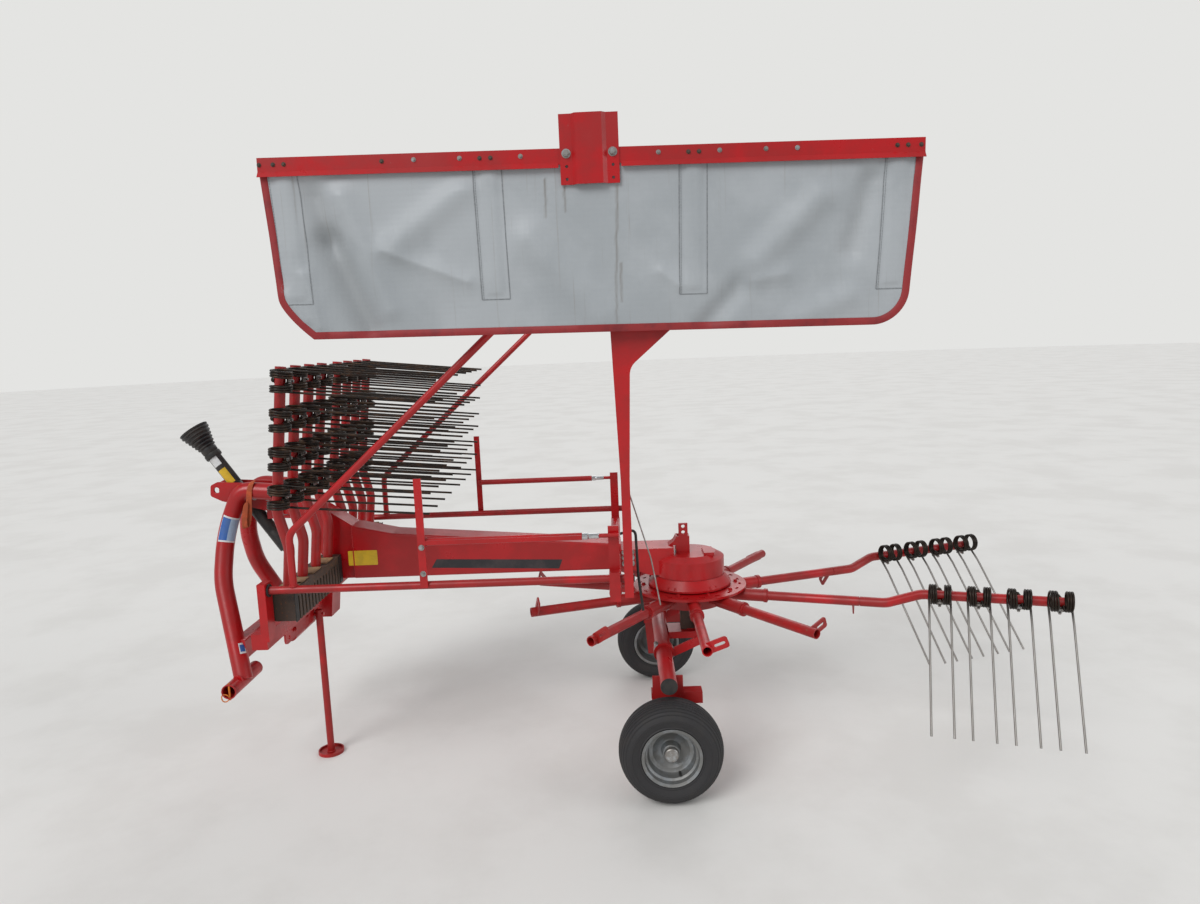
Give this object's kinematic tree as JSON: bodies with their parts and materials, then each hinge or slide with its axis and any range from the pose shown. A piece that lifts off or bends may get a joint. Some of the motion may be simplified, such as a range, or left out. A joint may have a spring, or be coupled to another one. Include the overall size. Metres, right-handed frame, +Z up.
{
  "type": "rotary rake",
  "caption": "Single-rotor hay rake on a three-point headstock, with plug-in tine arms stored upright in a rack, folding side guards and a swath curtain folded up on its post.",
  "frame": {"origin": "on the floor under the middle of the machine's bounding box", "axes": "+Z up; -X the way the machine travels, towards the tractor; +Y the machine's right side"},
  "size_m": [3.7454, 1.5142, 2.525],
  "materials": {
    "red_paint": "gloss enamel, scuffed and dusty",
    "dark_steel": "weathered dark paint",
    "tine_steel": "weathered spring steel",
    "shaft_guard": "black ribbed guard",
    "strap_rubber": "matt strap",
    "tyre": "worn rubber",
    "rim_paint": "silver paint",
    "curtain_cloth": "coated grey cloth with red binding"
  },
  "bodies": {
    "frame": {"main_beam": "red_paint", "beam_nose": "red_paint", "gearbox_drum": "red_paint", "drum_bracket": "red_paint", "side_carriers": "red_paint", "front_carrier": "red_paint", "arm_rack": "dark_steel", "stored_arms": "red_paint", "stored_tines": "tine_steel", "rotor_column": "dark_steel", "axle_tube": "red_paint", "undercarriage_frame": "red_paint", "wheel_brackets": "red_paint", "jack_bracket": "red_paint"},
    "headstock": {"top_plates": "red_paint", "upper_yoke": "red_paint", "lower_yoke": "red_paint", "lower_link_tube_left": "red_paint", "lower_link_tube_right": "red_paint", "headstock_leg_left": "red_paint", "headstock_leg_right": "red_paint", "cross_beam": "red_paint", "drive_shaft": "shaft_guard", "shaft_strap": "strap_rubber"},
    "rotor": {"rotor_flange": "red_paint", "arm_sockets": "red_paint", "tine_arm_left": "red_paint", "tine_arm_right": "red_paint", "tines_left": "tine_steel", "tines_right": "tine_steel"},
    "wheel_left": {"tyre_left": "tyre", "rim_left": "rim_paint"},
    "wheel_right": {"tyre_right": "tyre", "rim_right": "rim_paint"},
    "jack": {"jack_leg": "red_paint"},
    "left_guard": {"guard_rail_left": "red_paint", "guard_hoop_left": "red_paint", "guard_upright_left": "red_paint", "curtain_post": "red_paint"},
    "curtain_unit": {"curtain_bracket": "red_paint", "curtain_rail": "red_paint", "curtain": "curtain_cloth"},
    "right_guard": {"guard_rail_right": "red_paint", "guard_hoop_right": "red_paint", "guard_upright_right": "red_paint"}
  },
  "joints": [
    {"name": "rotor_spin", "type": "hinge", "parent": "frame", "child": "rotor", "pos_m": [0.31, 0.03, 0.645], "axis": [0, 0, 1], "continuous": true},
    {"name": "wheel_left_spin", "type": "hinge", "parent": "frame", "child": "wheel_left", "pos_m": [0.174, -0.565, 0.203], "axis": [0, 1, 0], "continuous": true},
    {"name": "wheel_right_spin", "type": "hinge", "parent": "frame", "child": "wheel_right", "pos_m": [0.174, 0.625, 0.203], "axis": [0, 1, 0], "continuous": true},
    {"name": "headstock_swivel", "type": "hinge", "parent": "frame", "child": "headstock", "pos_m": [-1.45, 0.03, 0.9], "axis": [0, 0, 1], "range_deg": [-12, 12]},
    {"name": "guard_left_fold", "type": "hinge", "parent": "frame", "child": "left_guard", "pos_m": [-0.69, -0.604, 0.902], "axis": [1, 0, 0], "range_deg": [0, 90]},
    {"name": "curtain_hang", "type": "hinge", "parent": "left_guard", "child": "curtain_unit", "pos_m": [-0.04, -0.652, 2.5], "axis": [1, 0, 0], "range_deg": [-90, 0]},
    {"name": "guard_right_fold", "type": "hinge", "parent": "frame", "child": "right_guard", "pos_m": [-0.69, 0.664, 0.902], "axis": [-1, 0, 0], "range_deg": [0, 90]},
    {"name": "jack_fold", "type": "hinge", "parent": "frame", "child": "jack", "pos_m": [-1.32, -0.106, 0.64], "axis": [-1, 0, 0], "range_deg": [0, 88]}
  ],
  "couplings": [
    {"joint": "curtain_hang", "follows": "guard_left_fold", "ratio": -1}
  ]
}
